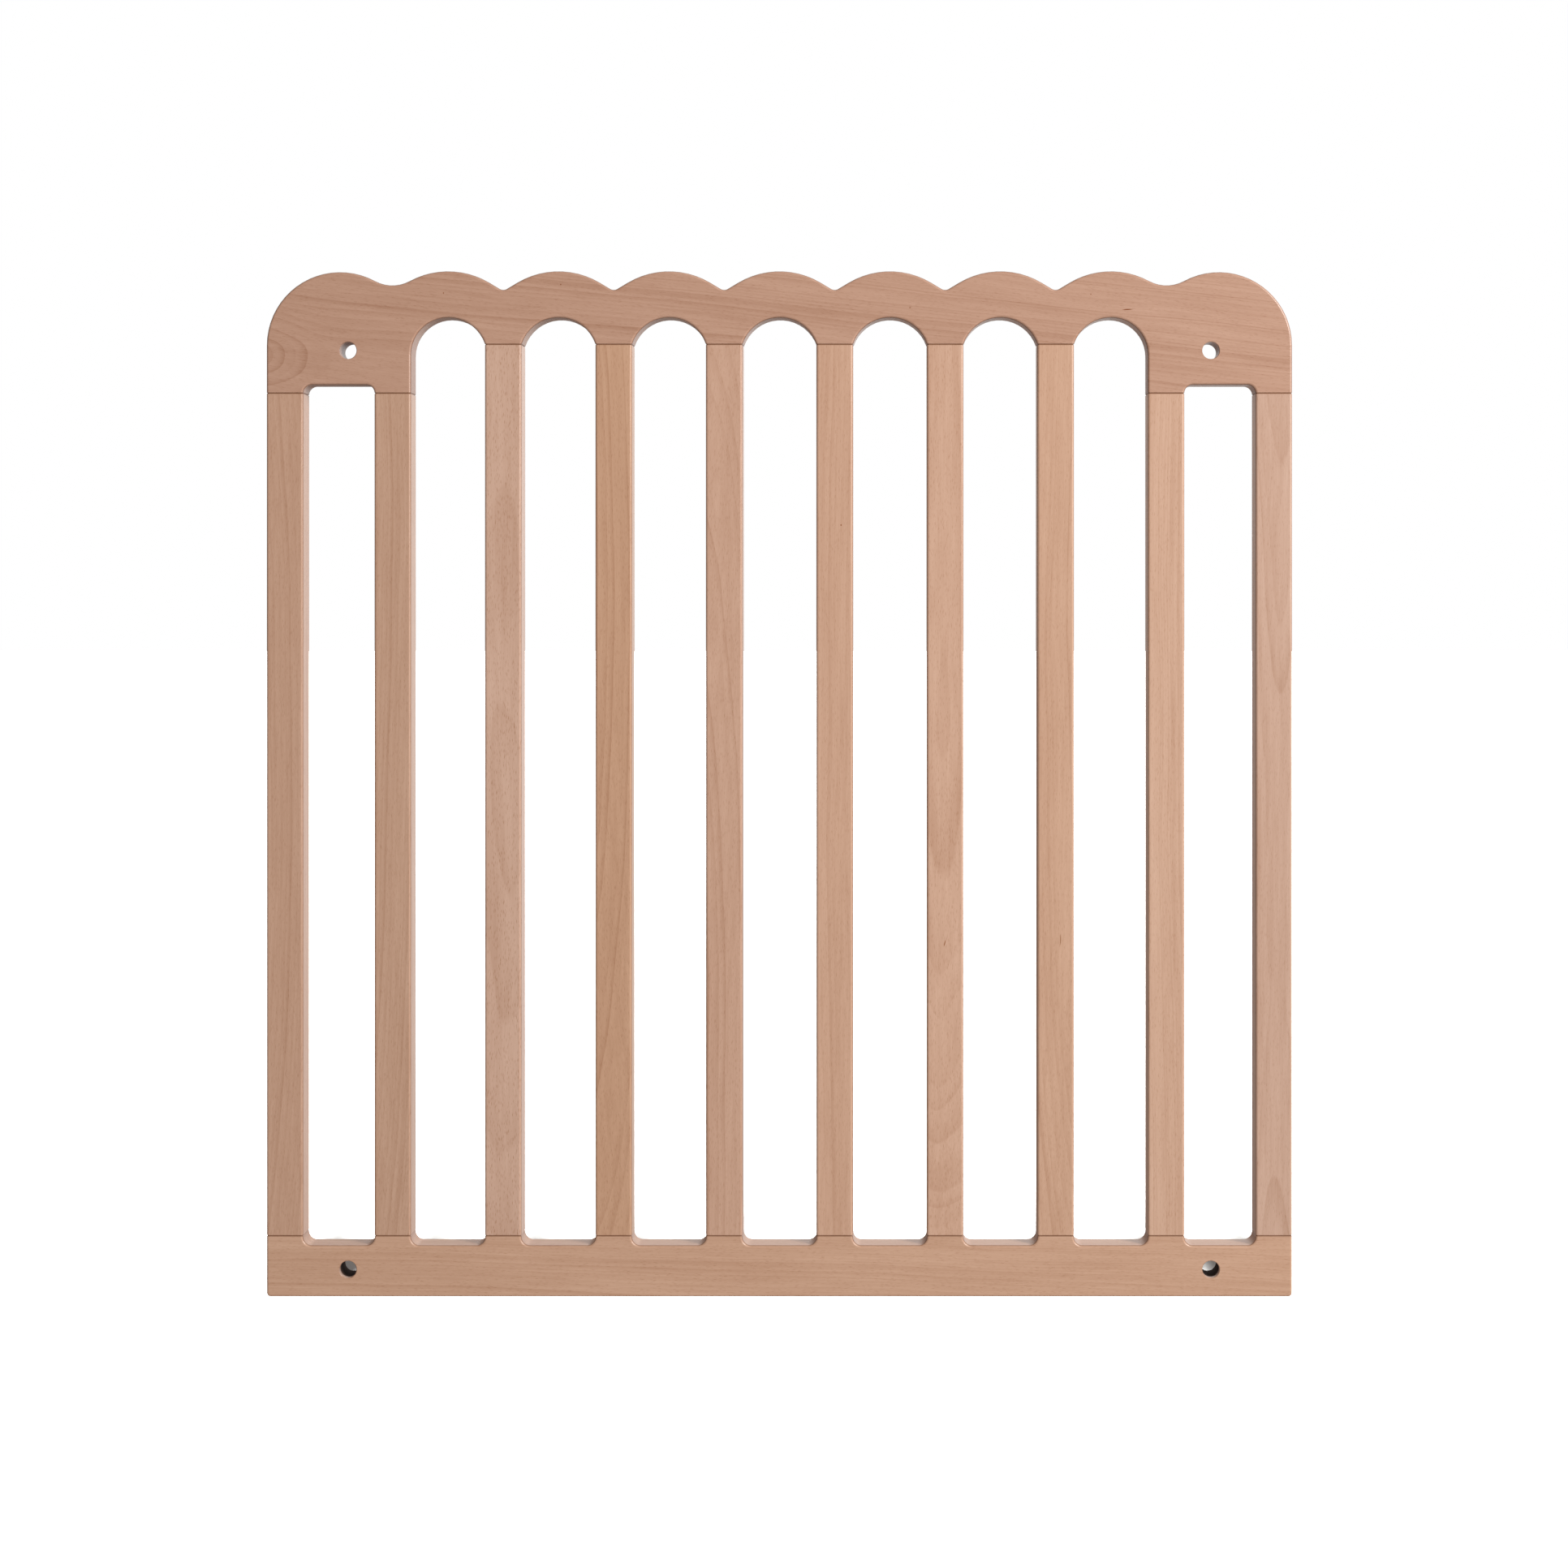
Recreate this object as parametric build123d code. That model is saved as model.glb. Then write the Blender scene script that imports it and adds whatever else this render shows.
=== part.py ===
from build123d import *
import os
from math import acos, atan2, cos, degrees, hypot, radians, sin

# Safety baby gate: one flat panel of solid beech. Ten upright bars, two outer posts and
# eight slats, stand between a straight bottom rail and a scalloped top rail, and each bar
# end is a butt joint held by two glued dowel pins.
#
# Millimetres, +Z up. The origin is the middle of the bottom edge, halfway through the
# thickness. The front looks along -Y, with +X to the right.

# Whole panel
PANEL_WIDTH = 840.0
PANEL_HEIGHT = 840.0
THICKNESS = 25.0

# Upright bars
BAR_WIDTH = 30.0
SLAT_COUNT = 8
SLAT_GAP = 60.5

# Heights of the joints between bars and rails
BOTTOM_JOINT = 50.0
TOP_JOINT = 780.0
OUTER_TOP_JOINT = 740.0  # the posts, and the slats beside them, end lower

# Openings cut into the rails between the bars
ARCH_RISE = 22.0
BOTTOM_SCOOP_DEPTH = 8.0
TOP_SCOOP_DEPTH = 7.0
SCOOP_CORNER_RADIUS = 7.0

# Scalloped top edge
HUMP_RADIUS = 66.0
HUMP_FLANK_ANGLE = 31.0  # slope, in degrees, of the straight flank below each hump
TROUGH_RADIUS = 6.0
END_HUMP_RADIUS = 60.0
END_HUMP_TOP = 839.3  # a hair lower than the humps between
SOFT_TROUGH_RADIUS = 30.0

# Four corner holes, right through both rails
HOLE_RADIUS = 7.0
HOLE_SPACING_X = 706.6
LOWER_HOLE_Z = 22.5
UPPER_HOLE_Z = 775.0
HOLE_RIM_CHAMFER = 0.5

# Eased edges
EDGE_ROUND = 2.0
BOTTOM_CORNER_ROUND = 3.0
JOINT_CHAMFER = 0.6  # on both sides of a joint, so that it shows as a fine V groove

# Dowel pins
DOWEL_RADIUS = 4.0
DOWEL_LENGTH = 40.0
DOWEL_SPACING = 14.0
DOWEL_CLEARANCE = 0.05
DOWEL_END_CHAMFER = 1.0
GLUE_SPACE = 1.0  # past the pin's end in the rail
FLUTE_COUNT = 8
FLUTE_RADIUS = 0.4

HALF_WIDTH = PANEL_WIDTH / 2
HALF_THICKNESS = THICKNESS / 2
HALF_BAR = BAR_WIDTH / 2
HALF_GAP = SLAT_GAP / 2
SLAT_PITCH = BAR_WIDTH + SLAT_GAP
POST_X = HALF_WIDTH - HALF_BAR
TOLERANCE = 1e-3


def slat_x(number):
    """Middle of a slat, numbered from 1 at the left."""
    return (number - (SLAT_COUNT + 1) / 2) * SLAT_PITCH


OUTER_SLAT_X = slat_x(SLAT_COUNT)
ARCH_XS = [slat_x(number) + SLAT_PITCH / 2 for number in range(1, SLAT_COUNT)]


def bar_places():
    """Name, middle and upper end of every bar, from left to right."""
    places = [("left_post", -POST_X, OUTER_TOP_JOINT)]
    for number in range(1, SLAT_COUNT + 1):
        outer = number in (1, SLAT_COUNT)
        top = OUTER_TOP_JOINT if outer else TOP_JOINT
        places.append((f"slat_{number}", slat_x(number), top))
    places.append(("right_post", POST_X, OUTER_TOP_JOINT))
    return places


# Outlines. They are drawn as seen from the front, across in X and up in Z, and go round
# clockwise as a list of arcs and lines. A straight line closes each space between two.


def arc(centre, radius, start, end):
    """Arc about a centre, from one angle to another, in degrees from +X towards +Z."""
    points = []
    for angle in (start, (start + end) / 2, end):
        turn = radians(angle)
        points.append((centre[0] + radius * cos(turn), centre[1] + radius * sin(turn)))
    return ThreePointArc(*points)


def closed_face(stretches):
    edges = []
    for stretch, following in zip(stretches, stretches[1:] + stretches[:1]):
        edges.append(stretch)
        start, end = stretch @ 1, following @ 0
        if (end - start).length > TOLERANCE:
            edges.append(Line(start, end))
    return make_face(edges)


def direction(start, end):
    """Angle of the line from one point to another, in degrees."""
    return degrees(atan2(end[1] - start[1], end[0] - start[0]))


def soft_trough_centre(hump, end_hump):
    """Centre, above two humps, of the circle that touches both from outside.

    The three centres make a triangle whose sides are known, so the law of cosines gives
    the angle at the hump's centre.
    """
    base = hypot(end_hump[0] - hump[0], end_hump[1] - hump[1])
    near = HUMP_RADIUS + SOFT_TROUGH_RADIUS
    far = END_HUMP_RADIUS + SOFT_TROUGH_RADIUS
    corner = degrees(acos((base**2 + near**2 - far**2) / (2 * base * near)))
    turn = radians(direction(hump, end_hump) + corner)
    return hump[0] + near * cos(turn), hump[1] + near * sin(turn)


def scalloped_edge():
    """Top edge from left to right: end hump, soft trough, seven humps with sharp troughs
    between them, soft trough, end hump."""
    hump_z = PANEL_HEIGHT - HUMP_RADIUS
    last_hump = (ARCH_XS[-1], hump_z)
    end_hump = (HALF_WIDTH - END_HUMP_RADIUS, END_HUMP_TOP - END_HUMP_RADIUS)
    trough = soft_trough_centre(last_hump, end_hump)
    from_hump = direction(last_hump, trough)
    from_end_hump = direction(end_hump, trough)

    flank = radians(HUMP_FLANK_ANGLE)
    reach = HUMP_RADIUS + TROUGH_RADIUS
    sharp_z = hump_z + (reach - SLAT_PITCH / 2 * sin(flank)) / cos(flank)

    left = [
        arc((-end_hump[0], end_hump[1]), END_HUMP_RADIUS, 180, 180 - from_end_hump),
        arc((-trough[0], trough[1]), SOFT_TROUGH_RADIUS, -from_end_hump, -from_hump),
    ]
    middle = []
    for x in ARCH_XS:
        start = 180 - from_hump if x == ARCH_XS[0] else 90 + HUMP_FLANK_ANGLE
        end = from_hump if x == ARCH_XS[-1] else 90 - HUMP_FLANK_ANGLE
        middle.append(arc((x, hump_z), HUMP_RADIUS, start, end))
        if x != ARCH_XS[-1]:
            low = (x + SLAT_PITCH / 2, sharp_z)
            middle.append(arc(low, TROUGH_RADIUS, -90 - HUMP_FLANK_ANGLE, -90 + HUMP_FLANK_ANGLE))
    right = [
        arc(trough, SOFT_TROUGH_RADIUS, from_hump - 180, from_end_hump - 180),
        arc(end_hump, END_HUMP_RADIUS, from_end_hump, 0),
    ]
    return left + middle + right


def top_rail_face():
    """Scalloped board, straight at the sides, with its underside cut to the arches."""
    spring = OUTER_TOP_JOINT
    under = [Line((HALF_WIDTH, spring), (POST_X - HALF_BAR, spring))]
    under += end_scoop(POST_X - HALF_BAR, OUTER_SLAT_X + HALF_BAR)
    under.append(Line((OUTER_SLAT_X + HALF_BAR, spring), (OUTER_SLAT_X - HALF_BAR, spring)))

    crown = TOP_JOINT + ARCH_RISE
    arch_radius = (HALF_GAP**2 + ARCH_RISE**2) / (2 * ARCH_RISE)
    corner = degrees(acos(HALF_GAP / arch_radius))
    for x in reversed(ARCH_XS):
        centre = (x, crown - arch_radius)
        outer_centre = (x, crown - HALF_GAP)
        start, end = corner, 180 - corner
        if x == ARCH_XS[-1]:
            under.append(arc(outer_centre, HALF_GAP, 0, 90))
            start = 90
        if x == ARCH_XS[0]:
            end = 90
        under.append(arc(centre, arch_radius, start, end))
        if x == ARCH_XS[0]:
            under.append(arc(outer_centre, HALF_GAP, 90, 180))

    under.append(Line((HALF_BAR - OUTER_SLAT_X, spring), (-OUTER_SLAT_X - HALF_BAR, spring)))
    under += end_scoop(-OUTER_SLAT_X - HALF_BAR, HALF_BAR - POST_X)
    under.append(Line((HALF_BAR - POST_X, spring), (-HALF_WIDTH, spring)))
    return closed_face(scalloped_edge() + under)


def end_scoop(right, left):
    """Shallow opening in the underside of an end block, from right to left."""
    roof = OUTER_TOP_JOINT + TOP_SCOOP_DEPTH - SCOOP_CORNER_RADIUS
    return [
        arc((right - SCOOP_CORNER_RADIUS, roof), SCOOP_CORNER_RADIUS, 0, 90),
        arc((left + SCOOP_CORNER_RADIUS, roof), SCOOP_CORNER_RADIUS, 90, 180),
    ]


def bottom_rail_face():
    """Straight board with a stub under every bar and a scoop between the stubs."""
    round_z = BOTTOM_JOINT - BOTTOM_SCOOP_DEPTH + SCOOP_CORNER_RADIUS
    corner_x = HALF_WIDTH - BOTTOM_CORNER_ROUND
    middles = [x for _, x, _ in bar_places()]
    stretches = []
    for x in middles:
        left, right = x - HALF_BAR, x + HALF_BAR
        if x != middles[0]:
            stretches.append(arc((left - SCOOP_CORNER_RADIUS, round_z), SCOOP_CORNER_RADIUS, -90, 0))
        stretches.append(Line((left, BOTTOM_JOINT), (right, BOTTOM_JOINT)))
        if x != middles[-1]:
            stretches.append(arc((right + SCOOP_CORNER_RADIUS, round_z), SCOOP_CORNER_RADIUS, 180, 270))
    stretches.append(arc((corner_x, BOTTOM_CORNER_ROUND), BOTTOM_CORNER_ROUND, 0, -90))
    stretches.append(arc((-corner_x, BOTTOM_CORNER_ROUND), BOTTOM_CORNER_ROUND, 270, 180))
    return closed_face(stretches)


# Solids


def board(face):
    return extrude(Plane.XZ * face, amount=HALF_THICKNESS, both=True)


def lies_at(edge, height):
    box = edge.bounding_box()
    return abs(box.min.Z - height) < TOLERANCE and abs(box.max.Z - height) < TOLERANCE


def lies_on_a_face(edge):
    box = edge.bounding_box()
    flat = box.size.Y < TOLERANCE
    return flat and abs(abs(box.min.Y) - HALF_THICKNESS) < TOLERANCE


def eased(solid, joints):
    """Rounds the edges round the front and back, then chamfers the ends at the joints."""
    rims = [
        edge
        for edge in solid.edges()
        if lies_on_a_face(edge) and not any(lies_at(edge, joint) for joint in joints)
    ]
    solid = fillet(rims, EDGE_ROUND)
    for joint in joints:
        solid = chamfer([edge for edge in solid.edges() if lies_at(edge, joint)], JOINT_CHAMFER)
    return solid


def corner_holes(z):
    """Two through holes with a small chamfer at each mouth."""
    holes = []
    for x in (-HOLE_SPACING_X / 2, HOLE_SPACING_X / 2):
        along_y = Location((x, 0, z), (90, 0, 0))
        holes.append(along_y * Cylinder(HOLE_RADIUS, THICKNESS + 2))
        for side, tilt in ((-1, 90), (1, -90)):
            mouth = Location((x, side * (HALF_THICKNESS - HOLE_RIM_CHAMFER / 2), z), (tilt, 0, 0))
            widest = HOLE_RADIUS + HOLE_RIM_CHAMFER
            holes.append(mouth * Cone(HOLE_RADIUS, widest, HOLE_RIM_CHAMFER))
    return holes


def dowel_xs(bar_x):
    return (bar_x - DOWEL_SPACING / 2, bar_x + DOWEL_SPACING / 2)


def dowel_sockets(bar_x, joint, up, depth):
    """Blind holes in one joint face, upwards or downwards from it."""
    middle = joint + depth / 2 if up else joint - depth / 2
    radius = DOWEL_RADIUS + DOWEL_CLEARANCE
    return [Pos(x, 0, middle) * Cylinder(radius, depth) for x in dowel_xs(bar_x)]


def top_rail():
    solid = eased(board(top_rail_face()), (OUTER_TOP_JOINT, TOP_JOINT))
    solid -= corner_holes(UPPER_HOLE_Z)
    for _, x, joint in bar_places():
        solid -= dowel_sockets(x, joint, True, DOWEL_LENGTH / 2 + GLUE_SPACE)
    return solid


def bottom_rail():
    solid = eased(board(bottom_rail_face()), (BOTTOM_JOINT,))
    solid -= corner_holes(LOWER_HOLE_Z)
    for _, x, _ in bar_places():
        solid -= dowel_sockets(x, BOTTOM_JOINT, False, DOWEL_LENGTH / 2 + GLUE_SPACE)
    return solid


def bar(x, top):
    length = top - BOTTOM_JOINT
    solid = Pos(x, 0, BOTTOM_JOINT + length / 2) * Box(BAR_WIDTH, THICKNESS, length)
    solid = fillet(solid.edges().filter_by(Axis.Z), EDGE_ROUND)
    for end in (BOTTOM_JOINT, top):
        solid = chamfer([edge for edge in solid.edges() if lies_at(edge, end)], JOINT_CHAMFER)
    solid -= dowel_sockets(x, BOTTOM_JOINT, True, DOWEL_LENGTH / 2)
    solid -= dowel_sockets(x, top, False, DOWEL_LENGTH / 2)
    return solid


def dowel(x, joint):
    """Fluted pin, centred on its joint."""
    pin = Cylinder(DOWEL_RADIUS, DOWEL_LENGTH)
    pin = chamfer(pin.edges().filter_by(GeomType.CIRCLE), DOWEL_END_CHAMFER)
    pin -= [
        place * Cylinder(FLUTE_RADIUS, DOWEL_LENGTH + 2)
        for place in PolarLocations(DOWEL_RADIUS, FLUTE_COUNT)
    ]
    return Pos(x, 0, joint) * pin


def pieces():
    yield "top_rail", top_rail()
    yield "bottom_rail", bottom_rail()
    for name, x, top in bar_places():
        yield name, bar(x, top)
        for end, joint in (("bottom", BOTTOM_JOINT), ("top", top)):
            for number, pin_x in enumerate(dowel_xs(x), start=1):
                yield f"dowel_{name}_{end}_{number}", dowel(pin_x, joint)


os.makedirs("parts", exist_ok=True)
for node, shape in pieces():
    export_step(shape, f"parts/{node}.step")
    print(node, "volume", round(shape.volume), "mm3")
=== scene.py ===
# %% [markdown]
# # A beech safety gate, finished and lit
#
# The gate is one flat panel: ten upright bars between a scalloped top rail and a straight
# bottom rail. Every board keeps the shape it was given in CAD. What it still lacks is wood:
# grain that runs the right way through each board, end grain where a cut crosses it, and
# the satin gloss of a clear finish. This lesson grows that wood in shader nodes, one board
# at a time, and then sets up a white studio round it.

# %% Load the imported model
from collections import namedtuple
from math import pi, radians

import bpy
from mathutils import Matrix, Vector


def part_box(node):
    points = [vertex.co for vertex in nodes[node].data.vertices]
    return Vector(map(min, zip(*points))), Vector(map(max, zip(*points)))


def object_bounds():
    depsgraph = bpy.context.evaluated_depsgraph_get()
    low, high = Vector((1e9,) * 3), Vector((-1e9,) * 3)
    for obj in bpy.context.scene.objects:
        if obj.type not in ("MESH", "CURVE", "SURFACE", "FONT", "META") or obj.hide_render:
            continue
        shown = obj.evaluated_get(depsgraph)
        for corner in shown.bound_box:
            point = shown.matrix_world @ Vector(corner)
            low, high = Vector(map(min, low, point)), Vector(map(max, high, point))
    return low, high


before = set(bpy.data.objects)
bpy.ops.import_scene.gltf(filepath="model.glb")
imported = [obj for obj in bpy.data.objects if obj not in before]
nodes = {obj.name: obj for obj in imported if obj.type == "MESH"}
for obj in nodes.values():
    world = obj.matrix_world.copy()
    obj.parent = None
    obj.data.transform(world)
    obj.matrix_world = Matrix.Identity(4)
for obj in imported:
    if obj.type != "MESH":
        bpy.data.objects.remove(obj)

cad_low, cad_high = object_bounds()
print("boards and pins:", len(nodes), "size in m:", [round(v, 4) for v in cad_high - cad_low])

# %% [markdown]
# ## Three helpers
#
# Colours are easiest to compare as hex values, as on a colour card, but shaders add light
# in linear numbers. One function turns the first into the second. Another adds a shader
# node, so that each material below reads as a list of what it does. The last one starts
# an empty material.

# %% Colour, node and material helpers
def linear(hex_colour, alpha=1.0):
    """sRGB hex to linear RGBA: c / 12.92 below 0.04045, else ((c + 0.055) / 1.055) ** 2.4."""
    channels = [int(hex_colour[i:i + 2], 16) / 255 for i in (1, 3, 5)]
    return (*(c / 12.92 if c <= 0.04045 else ((c + 0.055) / 1.055) ** 2.4 for c in channels), alpha)


def add(tree, kind, feeds=None, output=0, **settings):
    """Adds a shader node, sets its settings, feeds its sockets and returns one output.

    feeds maps a socket's name or number to a value or to another node's output.
    """
    node = tree.nodes.new("ShaderNode" + kind)
    for name, value in settings.items():
        setattr(node, name, value)
    for socket, value in (feeds or {}).items():
        if isinstance(value, bpy.types.NodeSocket):
            tree.links.new(value, node.inputs[socket])
        else:
            node.inputs[socket].default_value = value
    return node.outputs[output] if node.outputs else None


def new_material(name):
    """An empty material and its node tree."""
    material = bpy.data.materials.new(name)
    material.use_nodes = True
    material.node_tree.nodes.clear()
    return material, material.node_tree


# %% [markdown]
# ## Where a board lies in its log
#
# A board is a slice of a tree, so its grain is solid: the rings on the face turn over the
# rounded edge and come out again as end grain. A flat picture can't do that, but a pattern
# worked out in three dimensions does it by itself. Each board gets a log of its own, whose
# pith passes behind the board. The log leans a little and it is bowed, and that is what
# draws the long pointed figures on a face that was cut near the bark.
#
# A board is described by few numbers: its colour, where the pith passes in millimetres,
# how many degrees the log leans, how it bows, how wide a ring is, and how strongly rings
# and flecks show. The bow is a pair, because a trunk may curve one way below the place
# where the pith is given and another way above it. Some boards also have knots, small
# marks or dark bores.

# %% Board description and log coordinates
Board = namedtuple("Board", "tone pith lean bow ring_mm rings flecks knots marks bores",
                   defaults=((), (), ()))
MM = 0.001
FRONT_Y = cad_low.y / MM
ALONG_X = 90  # degrees about Y that lay a log along X instead of along Z
WANDER_MM = 4.0  # how far a growth line wanders to either side of a perfect circle
WANDERS_PER_MM = (0.016, 0.016, 0.0035)  # one wander in 60 mm across, 290 mm along


def log_place(tree, here, board):
    """Place in the log in millimetres: Z along the pith, Y into the depth of the board.

    place = turned back (object place - pith) + 2 * WANDER_MM * (slow noise - 0.5)
    Y then loses bow * Z^2, the curve of the trunk, with one bow below 0 and one above.
    """
    straight = add(tree, "Mapping", {
        "Vector": here,
        "Location": [value * MM for value in board.pith],
        "Rotation": [radians(angle) for angle in board.lean],
        "Scale": (MM,) * 3,
    }, vector_type="TEXTURE")
    slow = add(tree, "VectorMath", {0: straight, 1: WANDERS_PER_MM}, operation="MULTIPLY")
    noise = add(tree, "TexNoise", {"Vector": slow, "Scale": 1.0, "Detail": 2.0}, output="Color")
    centred = add(tree, "VectorMath", {0: noise, 1: (0.5, 0.5, 0.5)}, operation="SUBTRACT")
    wander = add(tree, "VectorMath", {0: centred, "Scale": 2 * WANDER_MM}, operation="SCALE")
    place = add(tree, "VectorMath", {0: straight, 1: wander}, operation="ADD")
    along = add(tree, "SeparateXYZ", {0: place}, output="Z")
    curve = 0.0
    for side, bow in zip(("MINIMUM", "MAXIMUM"), board.bow):
        part = add(tree, "Math", {0: along, 1: 0.0}, operation=side)
        square = add(tree, "Math", {0: part, 1: part}, operation="MULTIPLY")
        curve = add(tree, "Math", {0: square, 1: -bow, 2: curve}, operation="MULTIPLY_ADD")
    sag = add(tree, "CombineXYZ", {"Y": curve})
    return add(tree, "VectorMath", {0: place, 1: sag}, operation="ADD")


# %% [markdown]
# ## Growth rings
#
# Beech has quiet rings. Each one darkens slowly from early to late wood and ends abruptly,
# where the next spring began. The distance from the pith, divided by the width of a ring,
# counts the rings; the part of that count after the point says how far through its year a
# point is. No two years are alike: slow noise in the count makes some rings wide and some
# narrow, and each ring draws its own strength by chance. Beside a knot the tree grew round
# a branch: a smooth bump in the count bends the rings into nested arches there.

# %% Growth ring figure
NOISE_PER_RING = 0.4  # how soon ring widths change
UNEVEN_RINGS = 2.4  # the most rings that this noise adds to the count
LATE_RISE = 2.2  # power of the slow darkening
LATE_END = 0.91  # part of the year after which the dark wood fades
FAINTEST_RING = 0.15


def ring_count(tree, here, place, board):
    """Distance from the pith in rings, with a bump at each knot.

    A knot adds lift * exp(-(dx / reach_x)^2 - (dz / reach_z)^2).
    """
    across = add(tree, "VectorMath", {0: place, 1: (1, 1, 0)}, operation="MULTIPLY")
    distance = add(tree, "VectorMath", {0: across}, output="Value", operation="LENGTH")
    count = add(tree, "Math", {0: distance, 1: board.ring_mm}, operation="DIVIDE")
    uneven = add(tree, "TexNoise", {"W": count, "Scale": NOISE_PER_RING, "Detail": 1.0},
                 noise_dimensions="1D")
    count = add(tree, "Math", {0: uneven, 1: UNEVEN_RINGS, 2: count}, operation="MULTIPLY_ADD")
    for (x, z), (reach_x, reach_z), lift in board.knots:
        endless = 1e3  # metres, so that the depth of a point doesn't count
        offset = add(tree, "Mapping", {
            "Vector": here,
            "Location": (x * MM, 0, z * MM),
            "Scale": (reach_x * MM, endless, reach_z * MM),
        }, vector_type="TEXTURE")
        square = add(tree, "VectorMath", {0: offset, 1: offset}, output="Value",
                     operation="DOT_PRODUCT")
        falling = add(tree, "Math", {0: square, 1: -1.0}, operation="MULTIPLY")
        bump = add(tree, "Math", {0: falling}, operation="EXPONENT")
        count = add(tree, "Math", {0: bump, 1: lift, 2: count}, operation="MULTIPLY_ADD")
    return count


def late_wood(tree, count):
    """Rises as part ^ LATE_RISE through a ring, fades after LATE_END, times a strength."""
    part = add(tree, "Math", {0: count}, operation="FRACT")
    rise = add(tree, "Math", {0: part, 1: LATE_RISE}, operation="POWER")
    fall = add(tree, "MapRange", {"Value": part, "From Min": 1.0, "From Max": LATE_END},
               interpolation_type="SMOOTHSTEP")
    year = add(tree, "Math", {0: count}, operation="FLOOR")
    chance = add(tree, "TexWhiteNoise", {"W": year}, noise_dimensions="1D")
    strength = add(tree, "MapRange", {"Value": chance, "To Min": FAINTEST_RING})
    late = add(tree, "Math", {0: rise, 1: fall}, operation="MULTIPLY")
    return add(tree, "Math", {0: late, 1: strength}, operation="MULTIPLY")


# %% [markdown]
# ## Ray flecks and fibres
#
# Look closely at beech and you see thousands of short brown dashes. They are the ends of
# rays, thin ribbons of cells that run outwards from the pith. Stretched Voronoi cells have
# just that shape: a dark core at each cell's point, and pale wood between. Most real
# dashes are at most 0.3 mm wide. These are drawn about 0.4 mm wide, because thinner ones
# don't show when the whole gate is in view. Fibres are finer still, so they are drawn as
# soft streaks. Wider streaks and broad bands vary the tone of the board.

# %% Ray flecks and fibres
RAY_MM = (0.75, 1.4, 5.5)  # room for one ray: round the ring, outwards, along the pith
RAY_RIM = 0.40  # distance from the cell's point, in cells, where the dash fades out
RAY_CORE = 0.12
FAINTEST_RAY = 0.3
FIBRE_MM = (0.8, 22.0)  # across and along
STREAK_MM = (3.2, 90.0)
BAND_MM = (16.0, 150.0)


def ray_flecks(tree, place):
    """From 0 between rays to 1 on a ray: a smooth step down in the distance to its point."""
    cells = add(tree, "VectorMath", {0: place, 1: [1 / size for size in RAY_MM]},
                operation="MULTIPLY")
    near, chance = (add(tree, "TexVoronoi", {"Vector": cells, "Scale": 1.0}, output=name)
                    for name in ("Distance", "Color"))
    inside = add(tree, "MapRange", {"Value": near, "From Min": RAY_RIM, "From Max": RAY_CORE},
                 interpolation_type="SMOOTHSTEP")
    red = add(tree, "SeparateXYZ", {0: chance}, output="X")
    strength = add(tree, "MapRange", {"Value": red, "To Min": FAINTEST_RAY})
    return add(tree, "Math", {0: inside, 1: strength}, operation="MULTIPLY")


def streaks(tree, place, size_mm, detail, seed):
    """Noise from 0 to 1, stretched along the grain to the given size across and along."""
    across, along = (1 / size for size in size_mm)
    cells = add(tree, "VectorMath", {0: place, 1: (across, across, along), 2: (seed,) * 3},
                operation="MULTIPLY_ADD")
    return add(tree, "TexNoise", {"Vector": cells, "Scale": 1.0, "Detail": detail,
                                  "Roughness": 0.6})


# %% [markdown]
# ## Pin knots and slivers
#
# Here and there a board has a dark sliver or a pin knot, a millimetre or so wide. Each is
# an ellipse on the front face, placed where it sits on the real gate.

# %% Pin knots and slivers
MARK_DEPTH = 3 * MM  # half its depth, so that the back of the board stays clear
MARK_RIM = 1.3  # in half widths of the ellipse
MARK_CORE = 0.5


def small_marks(tree, here, board):
    """Sum over the marks of strength * smooth step down in the ellipse's radius."""
    total = 0.0
    for x, z, length, width, tilt, strength in board.marks:
        inside = add(tree, "Mapping", {
            "Vector": here,
            "Location": (x * MM, cad_low.y, z * MM),
            "Rotation": (0, radians(tilt), 0),
            "Scale": (width * MM / 2, MARK_DEPTH, length * MM / 2),
        }, vector_type="TEXTURE")
        radius = add(tree, "VectorMath", {0: inside}, output="Value", operation="LENGTH")
        spot = add(tree, "MapRange", {
            "Value": radius, "From Min": MARK_RIM, "From Max": MARK_CORE, "To Max": strength,
        }, interpolation_type="SMOOTHSTEP")
        total = add(tree, "Math", {0: spot, 1: total})
    return total


# %% [markdown]
# ## Where the bars meet the rails
#
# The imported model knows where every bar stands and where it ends, so nothing has to be
# measured again. Each joint is kept as its height, the way its board lies from there, and
# how far from the middle of the gate it reaches: the top rail ends lower over the outer
# four bars than over the six between them.

# %% Places of the bars and joints
bars = [name for name in nodes if name.startswith("slat_") or name.endswith("_post")]
boxes = {name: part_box(name) for name in bars}
bar_x = {name: (low.x + high.x) / 2 / MM for name, (low, high) in boxes.items()}
print("bars at x in mm:", {name: round(x, 1) for name, x in bar_x.items()})

foot_z = boxes["slat_1"][0].z
outer_top_z = boxes["slat_1"][1].z
inner_top_z = boxes["slat_2"][1].z
inner_reach = boxes["slat_7"][1].x + 30 * MM
UP, DOWN = 1, -1
ANYWHERE = 1.0  # metres, wider than the gate

joints = {name: [(low.z, UP, ANYWHERE), (high.z, DOWN, ANYWHERE)]
          for name, (low, high) in boxes.items()}
joints["bottom_rail"] = [(foot_z, DOWN, ANYWHERE)]
joints["top_rail"] = [(outer_top_z, UP, ANYWHERE), (inner_top_z, UP, inner_reach)]
print("joint heights in m:", [round(z, 4) for z in (foot_z, outer_top_z, inner_top_z)])
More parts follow.
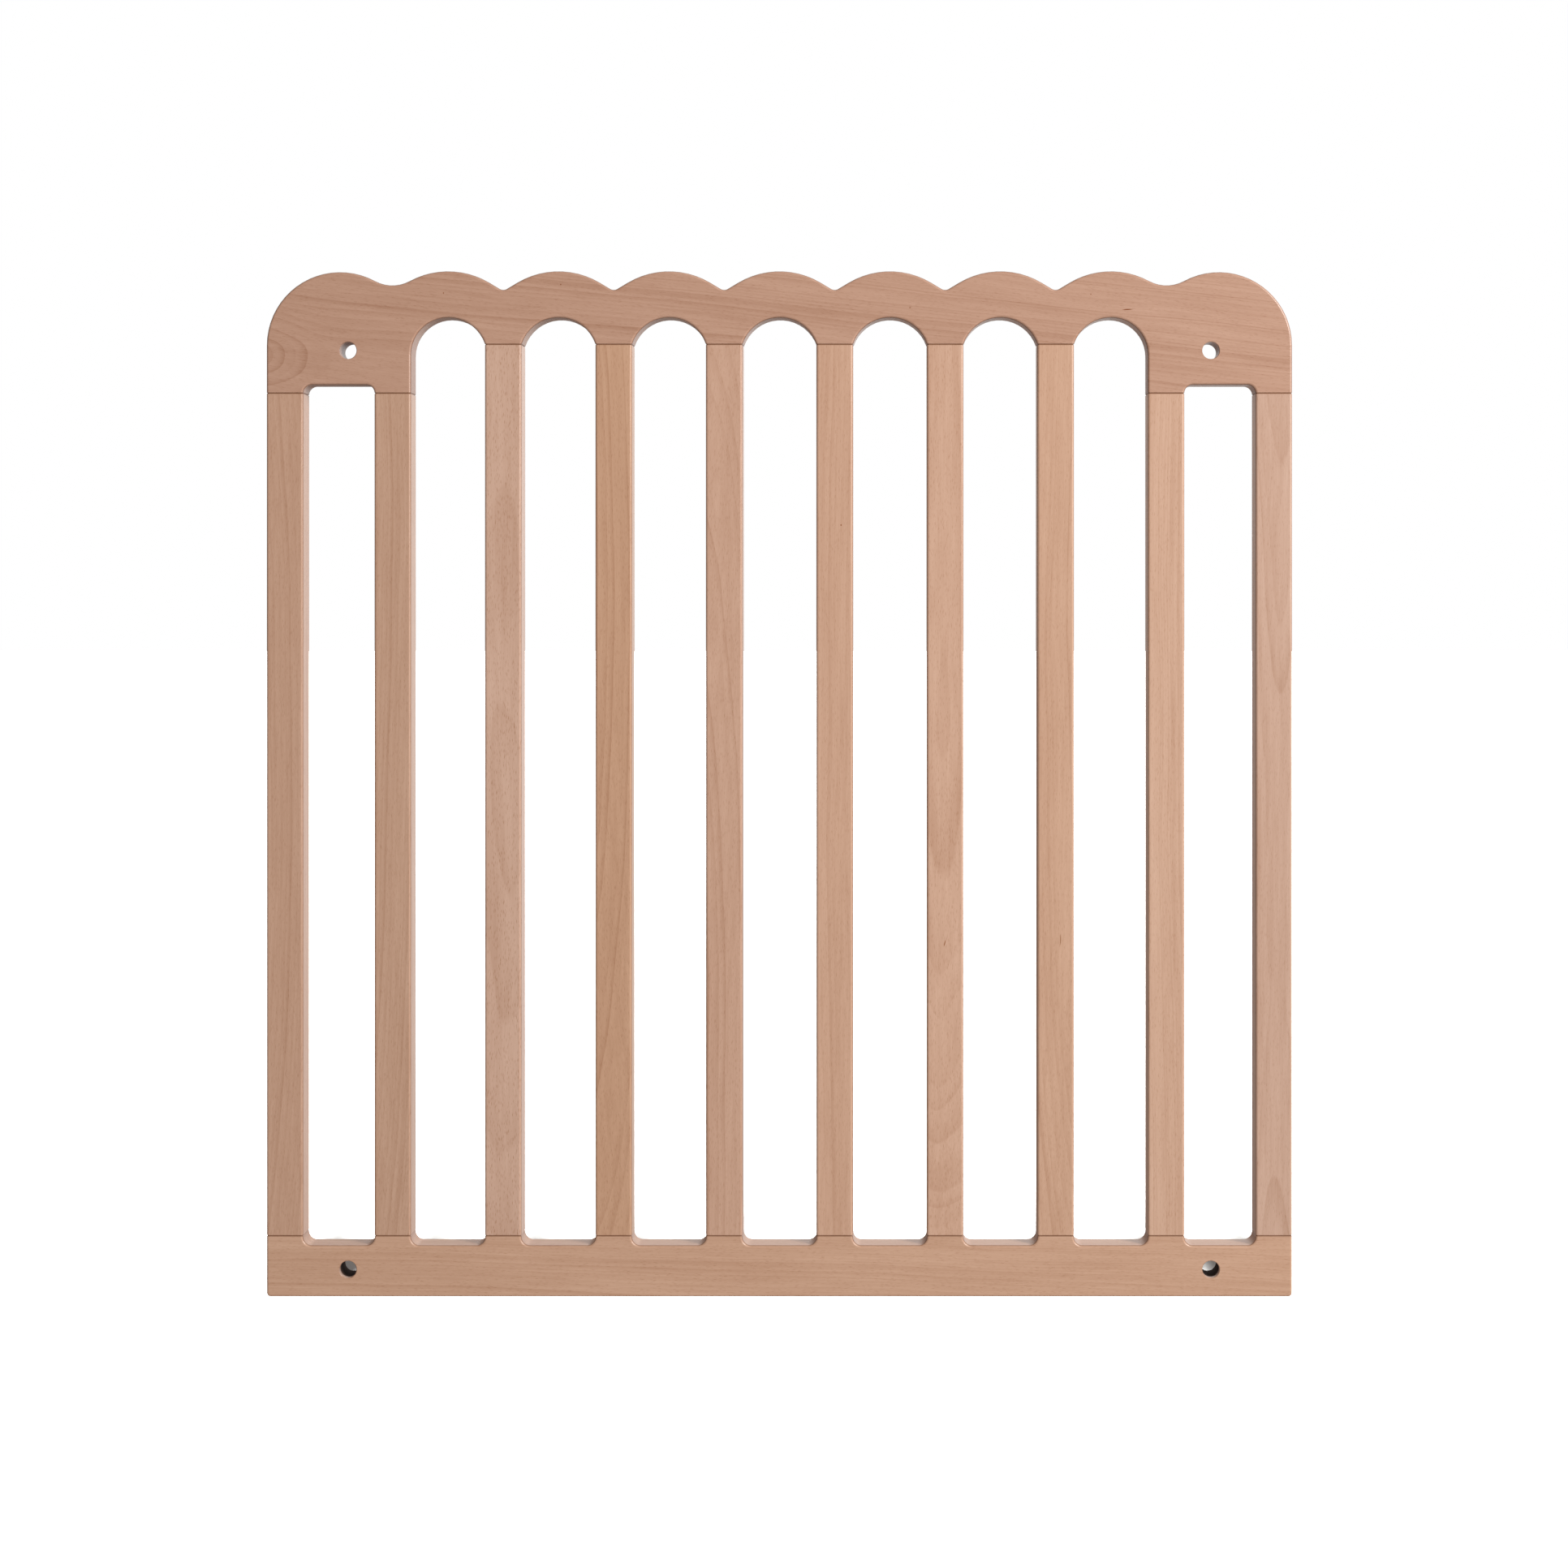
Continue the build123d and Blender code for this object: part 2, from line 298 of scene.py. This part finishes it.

# %% [markdown]
# ## Shade in the joints
#
# Where a bar meets a rail the two edges are eased into a fine groove. Shade in that groove
# is painted: the last 0.9 mm on both sides of a joint is drawn darker.

# %% Joint grooves
GROOVE = 0.9 * MM
# the colour of the painted shade in the joint grooves
GROOVE_SHADE_BROWN = "#8C6146"


def painted_groove_shade(tree, here, board_joints):
    """Painted groove shade: 1 at a joint's height, 0 from GROOVE inside the board, for |x| up to
    the joint's reach.
    """
    x, z = (add(tree, "SeparateXYZ", {0: here}, output=axis) for axis in "XZ")
    aside = add(tree, "Math", {0: x}, operation="ABSOLUTE")
    total = 0.0
    for height, inwards, reach in board_joints:
        near = add(tree, "MapRange", {"Value": z, "From Min": height + inwards * GROOVE,
                                      "From Max": height})
        within = add(tree, "Math", {0: aside, 1: reach}, operation="LESS_THAN")
        total = add(tree, "Math", {0: near, 1: within, 2: total}, operation="MULTIPLY_ADD")
    return total


# %% [markdown]
# ## Painted shade and bare wood in a bore
#
# The two holes in the bottom rail look almost black inside. That shade is painted: the wall
# is drawn dark brown, and it is left without lacquer, rough and without gloss. The dark wall
# starts a little behind the front face, where the rim catches light.

# %% Painted shade in the bores
BORE_RADIUS = 7 * MM
BORE_NEAR = 1.02  # radii within which a point counts as the wall
BORE_FAR = 1.04
BORE_FROM_FRONT = 6 * MM
# the colour of the painted shade on the bore walls
BORE_SHADE_BROWN = "#3A2418"


def painted_bore_shade(tree, here, bores):
    """0 on the board, 1 on a bore's wall from BORE_FROM_FRONT on, faded in over half of that: where
    the wall's shade is painted and its lacquer left off.
    """
    y = add(tree, "SeparateXYZ", {0: here}, output="Y")
    deep = add(tree, "MapRange", {"Value": y, "From Min": cad_low.y + 0.5 * BORE_FROM_FRONT,
                                  "From Max": cad_low.y + BORE_FROM_FRONT})
    total = 0.0
    for x, z in bores:
        offset = add(tree, "VectorMath", {0: here, 1: (x * MM, 0, z * MM)},
                     operation="SUBTRACT")
        flat = add(tree, "VectorMath", {0: offset, 1: (1, 0, 1)}, operation="MULTIPLY")
        radius = add(tree, "VectorMath", {0: flat}, output="Value", operation="LENGTH")
        near = add(tree, "MapRange", {"Value": radius, "From Min": BORE_FAR * BORE_RADIUS,
                                      "From Max": BORE_NEAR * BORE_RADIUS})
        total = add(tree, "Math", {0: near, 1: total}, use_clamp=True)
    return add(tree, "Math", {0: total, 1: deep}, operation="MULTIPLY")


# %% [markdown]
# ## Shade on the eased edges
#
# The outer half of each round is drawn a little darker, as painted shade, and that draws
# a fine line round every board. The front of the gate faces along Y, so the Y part of the
# normal says how far a point has turned: 1 on the faces, 0 on the sides, and between the
# two on the rounds.

# %% Eased edges with painted shade
RIM_STARTS = (0.04, 0.12)  # |normal y| over which the shade fades in from the side
RIM_ENDS = (0.80, 0.60)  # and over which it fades out towards the face


def painted_rim_shade(tree, normal):
    """Painted rim shade: 1 on the outer half of a rounded edge, 0 on flat faces and sides."""
    depth = add(tree, "SeparateXYZ", {0: normal}, output="Y")
    facing = add(tree, "Math", {0: depth}, operation="ABSOLUTE")
    off_side, off_face = (
        add(tree, "MapRange", {"Value": facing, "From Min": start, "From Max": full})
        for start, full in (RIM_STARTS, RIM_ENDS))
    return add(tree, "Math", {0: off_side, 1: off_face}, operation="MULTIPLY")


# %% [markdown]
# ## Beech, sanded and lacquered
#
# The figure mixes a pale and a deep shade of the board's own tone: every pattern adds its
# weight to one number, and that number is the mix. End grain drinks more lacquer than side
# grain and goes darker, so the colour also follows how squarely a surface cuts the grain.
# The lacquer is thin and satin: highlights are soft on a face and bright only on the
# rounded edges. A clear lacquer has an IOR near 1.5.

# %% The beech material
PALE = (1.13, 1.17, 1.21)  # early wood as a share of the board's tone
DEEP = (0.68, 0.52, 0.40)  # late wood and rays
END_GRAIN = (0.72, 0.64, 0.58)
END_GRAIN_FROM = 0.5  # |cosine| between normal and grain at which the darkening starts
# painted shade on the outer half of each rounded edge, as a share of the tone
PAINTED_RIM_SHADE = (0.66, 0.60, 0.56)

NO_FIGURE = -0.40  # the mix where every pattern is 0, paler than PALE
FIBRE_WEIGHT = 0.45
STREAK_WEIGHT = 0.35
BAND_WEIGHT = 0.40

RAY_RELIEF = -0.7  # rays sink, fibres stand up by 1
RELIEF_HEIGHT = 0.12 * MM
RELIEF_STRENGTH = 0.25
ROUGHNESS = 0.38
ROUGHER_FIBRE = 0.16
COAT = 0.6
COAT_ROUGHNESS = 0.25
LACQUER_IOR = 1.5


def shade(tone, share):
    """A tone with each linear channel multiplied by its share."""
    return (*(value * part for value, part in zip(linear(tone), share)), 1.0)


def figure(tree, here, place, board, fleck, fibre):
    """NO_FIGURE plus the weighted sum of all patterns: 0 is pale wood, 1 is deep wood."""
    patterns = [
        (late_wood(tree, ring_count(tree, here, place, board)), board.rings),
        (fleck, board.flecks),
        (fibre, FIBRE_WEIGHT),
        (streaks(tree, place, STREAK_MM, 2.0, 20.0), STREAK_WEIGHT),
        (streaks(tree, place, BAND_MM, 2.0, 40.0), BAND_WEIGHT),
        (small_marks(tree, here, board), 1.0),
    ]
    depth = NO_FIGURE
    for pattern, weight in patterns:
        depth = add(tree, "Math", {0: pattern, 1: weight, 2: depth}, operation="MULTIPLY_ADD")
    return depth


def end_grain_and_rim_shade(tree, board, rim_shade):
    """The share of the tone that end grain keeps, times the painted shade on eased edges; 1 on a
    flat side.
    """
    grain = Vector((1, 0, 0)) if board.lean[1] > ALONG_X / 2 else Vector((0, 0, 1))
    normal = add(tree, "NewGeometry", output="Normal")
    along = add(tree, "VectorMath", {0: normal, 1: grain}, output="Value",
                operation="DOT_PRODUCT")
    squarely = add(tree, "Math", {0: along}, operation="ABSOLUTE")
    end_grain = add(tree, "MapRange", {"Value": squarely, "From Min": END_GRAIN_FROM})
    share = add(tree, "Mix", {0: end_grain, 6: (1, 1, 1, 1), 7: (*END_GRAIN, 1)}, output=2,
                data_type="RGBA")
    return add(tree, "Mix", {0: painted_rim_shade(tree, normal), 6: share, 7: (*rim_shade, 1)}, output=2,
               data_type="RGBA", blend_type="MULTIPLY")


def lacquered_beech(name, board, rim_shade=PAINTED_RIM_SHADE):
    """Beech for one board, with its own log and tone, and painted shade on its rounded edges, in
    its joints and in its bores.
    """
    material, tree = new_material(f"beech_sanded_lacquered_{name}")
    here = add(tree, "TexCoord", output="Object")
    place = log_place(tree, here, board)
    fleck = ray_flecks(tree, place)
    fibre = streaks(tree, place, FIBRE_MM, 3.0, 0.0)

    colour = add(tree, "Mix", {
        0: figure(tree, here, place, board, fleck, fibre),
        6: shade(board.tone, PALE),
        7: shade(board.tone, DEEP),
    }, output=2, data_type="RGBA", clamp_factor=False)
    # end grain darkening, and painted shade on the rounded edges
    colour = add(tree, "Mix", {0: 1.0, 6: colour, 7: end_grain_and_rim_shade(tree, board, rim_shade)}, output=2,
                 data_type="RGBA", blend_type="MULTIPLY")
    # painted shade in the grooves where the bars meet the rails
    groove_shade = painted_groove_shade(tree, here, joints.get(name, []))
    colour = add(tree, "Mix", {0: groove_shade, 6: colour, 7: linear(GROOVE_SHADE_BROWN)}, output=2,
                 data_type="RGBA")

    relief = add(tree, "Math", {0: fleck, 1: RAY_RELIEF, 2: fibre}, operation="MULTIPLY_ADD")
    surface = add(tree, "Bump", {
        "Height": relief, "Strength": RELIEF_STRENGTH, "Distance": RELIEF_HEIGHT,
    }, output="Normal")
    rough = add(tree, "Math", {0: fibre, 1: ROUGHER_FIBRE, 2: ROUGHNESS},
                operation="MULTIPLY_ADD")
    coat = COAT
    if board.bores:
        # painted shade on the bore walls, which are also left rough and without lacquer
        bare_and_shaded = painted_bore_shade(tree, here, board.bores)
        colour = add(tree, "Mix", {0: bare_and_shaded, 6: colour, 7: linear(BORE_SHADE_BROWN)}, output=2,
                     data_type="RGBA")
        rough = add(tree, "Math", {0: rough, 1: bare_and_shaded}, use_clamp=True)
        coat = add(tree, "MapRange", {"Value": bare_and_shaded, "To Min": COAT, "To Max": 0.0})
    shader = add(tree, "BsdfPrincipled", {
        "Base Color": colour, "Roughness": rough, "Normal": surface, "IOR": LACQUER_IOR,
        "Coat Weight": coat, "Coat Roughness": COAT_ROUGHNESS, "Coat IOR": LACQUER_IOR,
    }, output="BSDF")
    add(tree, "OutputMaterial", {"Surface": shader})
    return material


# %% [markdown]
# ## The twelve boards
#
# A rail's pith is given in the gate's own millimetres. A bar's pith is given from the bar:
# how far across from its middle, how far behind its front face, and at which height above
# the floor. Boards whose pith lies straight behind them show pointed figures; boards whose
# pith lies off to one side show long streaks. The swirl at the left end of the top rail is
# a knot just below the surface, given as its place, its reach and the rings it lifts.
# A mark is its place, length, width, tilt in degrees and strength.

# %% The boards
BOARDS = {
    "top_rail": Board(
        "#BE937A", pith=(0, 50, 719), lean=(0, ALONG_X + 7, -1.5), bow=(1e-5, 1e-5),
        ring_mm=3.6, rings=0.50, flecks=0.38,
        knots=(((-428, 770), (36, 34), -5.5),),
        marks=((285, 808.5, 8.5, 1.0, 88, 1.3),
               (-275, 822, 1.5, 0.9, 0, 1.0),
               (-179, 829, 1.3, 1.0, 0, 0.9),
               (107, 810, 1.6, 1.0, 80, 0.9),
               (255, 821, 1.4, 1.0, 0, 0.9))),
    "bottom_rail": Board(
        "#CBA083", pith=(100, 48, -40), lean=(0, ALONG_X + 1, 1), bow=(8e-6, 8e-6),
        ring_mm=2.8, rings=0.32, flecks=0.40,
        bores=((-353.3, 22.5), (353.3, 22.5))),
}


def bar(name, tone, across, behind, height, **rest):
    """Adds a bar's board to BOARDS, with its pith given from the bar."""
    pith = (bar_x[name] + across, FRONT_Y + behind, height)
    BOARDS[name] = Board(tone, pith, **rest)


bar("left_post", "#C59B80", across=-55, behind=50, height=380,
    lean=(0, 1, 0), bow=(1.2e-4, 1.2e-4), ring_mm=3.2, rings=0.35, flecks=0.40)
bar("slat_1", "#C59C81", across=-60, behind=52, height=300,
    lean=(2, 1, 0), bow=(9e-5, 9e-5), ring_mm=3.0, rings=0.40, flecks=0.40)
bar("slat_2", "#CFA890", across=2, behind=105, height=450,
    lean=(0, 0, 0), bow=(8.3e-5, 6e-5), ring_mm=5.0, rings=0.45, flecks=0.70)
bar("slat_3", "#C69979", across=-55, behind=55, height=700,
    lean=(0, -1.5, 0), bow=(9e-5, 9e-5), ring_mm=4.6, rings=0.50, flecks=0.45)
bar("slat_4", "#C99F85", across=-50, behind=55, height=60,
    lean=(0, 1.5, 0), bow=(8e-5, 8e-5), ring_mm=4.5, rings=0.42, flecks=0.45)
bar("slat_5", "#CCA185", across=60, behind=60, height=400,
    lean=(0.5, 0.3, 0), bow=(3e-5, 3e-5), ring_mm=3.6, rings=0.25, flecks=0.40,
    marks=((50.5, 632, 1.3, 1.1, 0, 1.2),))
bar("slat_6", "#D0A68B", across=-1, behind=70.6, height=450,
    lean=(0, 0.3, 0), bow=(1.7e-4, 1.5e-5), ring_mm=2.95, rings=0.35, flecks=0.50,
    marks=((135.4, 289.7, 5.4, 0.8, 14, 1.2),))
bar("slat_7", "#CCA184", across=55, behind=55, height=600,
    lean=(0, 1, 0), bow=(8e-5, 8e-5), ring_mm=3.8, rings=0.38, flecks=0.40,
    marks=((230.2, 292.6, 9.0, 0.7, 1, 1.1),))
bar("slat_8", "#CFA68B", across=60, behind=60, height=400,
    lean=(0.4, -0.2, 0), bow=(2e-5, 2e-5), ring_mm=2.6, rings=0.35, flecks=0.42)
bar("right_post", "#C8A28B", across=3, behind=46.8, height=312,
    lean=(0, 0.4, 0), bow=(-5e-5, -5e-5), ring_mm=3.0, rings=0.30, flecks=0.35)

for name, board in BOARDS.items():
    nodes[name].material_slots[0].material = lacquered_beech(name, board)
print("beech boards:", len(BOARDS))

# %% [markdown]
# ## The dowel pins
#
# Two fluted beech pins hold each joint. They are glued in and out of sight, but a joint
# that is pulled apart should show wood too. A pin is round, so it has no eased edge: its
# painted rim shade is 1, which leaves the tone as it is.

# %% Dowel pins
PIN = Board("#C8A283", pith=(0, 30, 0), lean=(0, 0, 0), bow=(0.0, 0.0),
            ring_mm=2.0, rings=0.3, flecks=0.3)
pin_beech = lacquered_beech("dowel_pin", PIN, rim_shade=(1, 1, 1))
pins = [node for name, node in nodes.items() if name.startswith("dowel_")]
for pin in pins:
    pin.material_slots[0].material = pin_beech
print("dowel pins:", len(pins))

# %% [markdown]
# ## The studio floor
#
# The gate stands on a plain pale floor of matt paint. The floor lies a hair below the
# gate's foot, so that the two never share a plane. It has a strong light of its own, and
# it is hidden from light that bounces and mirrors, or it would light the gate from below.

# %% Floor
FLOOR_SIDE = 60.0
FLOOR_GAP = 0.1 * MM


def matt_floor_paint():
    """Rolled emulsion: pale, almost without gloss, with a slightly cloudy roughness."""
    material, tree = new_material("white_matt_floor_paint")
    here = add(tree, "TexCoord", output="Object")
    cloud = add(tree, "TexNoise", {"Vector": here, "Scale": 3.0, "Detail": 2.0})
    rough = add(tree, "MapRange", {"Value": cloud, "To Min": 0.85, "To Max": 0.95})
    shader = add(tree, "BsdfPrincipled", {
        "Base Color": linear("#B4B4B2"), "Roughness": rough, "Specular IOR Level": 0.1,
    }, output="BSDF")
    add(tree, "OutputMaterial", {"Surface": shader})
    return material


half = FLOOR_SIDE / 2
square = [(-half, -half), (half, -half), (half, half), (-half, half)]
corners = [(x, y, -FLOOR_GAP) for x, y in square]
sheet = bpy.data.meshes.new("studio_floor")
sheet.from_pydata(corners, [], [(0, 1, 2, 3)])
floor = bpy.data.objects.new("studio_floor", sheet)
floor.data.materials.append(matt_floor_paint())
floor.visible_diffuse = False
floor.visible_glossy = False
bpy.context.scene.collection.objects.link(floor)
print("floor side in m:", FLOOR_SIDE)

# %% [markdown]
# ## Lights
#
# A softbox stands at the upper right in front of the gate, and a fainter one at the left
# behind it keeps the back from going dark. The second one is hidden from mirrored light,
# because its image would wipe out the wood on the bars' sides. Both light only the gate.
# The floor has a low light from the front, so that it stays white and the shadow of the
# bottom rail falls behind the gate, where the rail covers it.

# %% Lights
target = (cad_low + cad_high) / 2


def lamp(name, kind, place, power, lit, **settings):
    """A lamp aimed at the middle of the gate that lights only the given objects."""
    light = bpy.data.lights.new(name, kind)
    light.energy = power
    for key, value in settings.items():
        setattr(light, key, value)
    holder = bpy.data.objects.new(name, light)
    holder.location = place
    holder.rotation_euler = (target - Vector(place)).to_track_quat("-Z", "Y").to_euler()
    bpy.context.scene.collection.objects.link(holder)
    group = bpy.data.collections.new(name + "_lights")
    for item in lit:
        group.objects.link(item)
    holder.light_linking.receiver_collection = group
    return holder


lamp("key_softbox", "AREA", place=(2.6, -2.3, 1.9), power=116, lit=nodes.values(),
     shape="RECTANGLE", size=1.0, size_y=1.6)
back = lamp("back_softbox", "AREA", place=(-0.9, 3.1, 0.9), power=22, lit=nodes.values(),
            shape="SQUARE", size=1.2)
back.visible_glossy = False
lamp("floor_light", "SUN", place=(0, -8, 2.90), power=88.0, lit=[floor], angle=radians(13))
print("lamps:", [item.name for item in bpy.data.lights])

# %% [markdown]
# ## A white backdrop
#
# To the camera the world is plain white. What the gate gets is set separately. Mirrored, it
# is bright towards the upper right and dim elsewhere, like a studio with one white wall, and
# that gives the right-hand sides and edges their shine. As soft fill it is even, with a
# little more from the right and from below, where a white floor would throw light back.

# %% World
WALL_SIDE = (1.2, 0.5, 1.0)  # the way to the white wall: right, a little back, and up
WALL_FROM = 0.2
WALL_FULL = 0.75
DIM_ROOM = 0.14
WHITE_WALL = 0.95
FILL = 0.48
MORE_FILL = (0.13, 0.0, -0.22)

world = bpy.data.worlds.new("white_studio")
bpy.context.scene.world = world
world.use_nodes = True
tree = world.node_tree
tree.nodes.clear()
direction = add(tree, "TexCoord", output="Generated")
towards_wall = add(tree, "VectorMath", {0: direction, 1: WALL_SIDE}, output="Value",
                   operation="DOT_PRODUCT")
mirrored = add(tree, "MapRange", {"Value": towards_wall, "From Min": WALL_FROM,
                                  "From Max": WALL_FULL, "To Min": DIM_ROOM,
                                  "To Max": WHITE_WALL})
slope = add(tree, "VectorMath", {0: direction, 1: MORE_FILL}, output="Value",
            operation="DOT_PRODUCT")
fill = add(tree, "Math", {0: slope, 1: FILL})
is_diffuse, is_glossy = (add(tree, "LightPath", output=name)
                         for name in ("Is Diffuse Ray", "Is Glossy Ray"))
strength = add(tree, "Mix", {0: is_glossy, 2: 1.0, 3: mirrored}, data_type="FLOAT")
strength = add(tree, "Mix", {0: is_diffuse, 2: strength, 3: fill}, data_type="FLOAT")
white = add(tree, "Background", {"Color": linear("#FFFFFF"), "Strength": strength})
add(tree, "OutputWorld", {"Surface": white})
print("world nodes:", len(tree.nodes))

# %% [markdown]
# ## The camera
#
# The camera looks straight at the gate, so upright lines stay upright. It stands a little
# right of the middle, and the lens is shifted to bring the gate to the middle of the frame
# without turning the camera. The frame's width and middle are measured on the plane of
# the front face, and the camera's distance is measured from it.

# %% Camera
VIEW_WIDTH = 1.2838  # width of the frame on the front face
VIEW_CENTRE = Vector((0.0038, 0.420))  # X and Z of the frame's middle
CAMERA_AT = Vector((0.0928, 0.5676))  # X and Z of the camera
CAMERA_DISTANCE = 2.2
SENSOR_MM = 36

camera = bpy.data.cameras.new("camera")
camera.sensor_width = SENSOR_MM
camera.lens = SENSOR_MM * CAMERA_DISTANCE / VIEW_WIDTH
camera.shift_x, camera.shift_y = (VIEW_CENTRE - CAMERA_AT) / VIEW_WIDTH
eye = bpy.data.objects.new("camera", camera)
eye.location = (CAMERA_AT.x, cad_low.y - CAMERA_DISTANCE, CAMERA_AT.y)
eye.rotation_euler = (pi / 2, 0, 0)
bpy.context.scene.collection.objects.link(eye)
bpy.context.scene.camera = eye
bpy.context.scene.view_settings.view_transform = "Standard"
print("lens:", round(camera.lens, 1), "shift:", round(camera.shift_x, 3), round(camera.shift_y, 3))
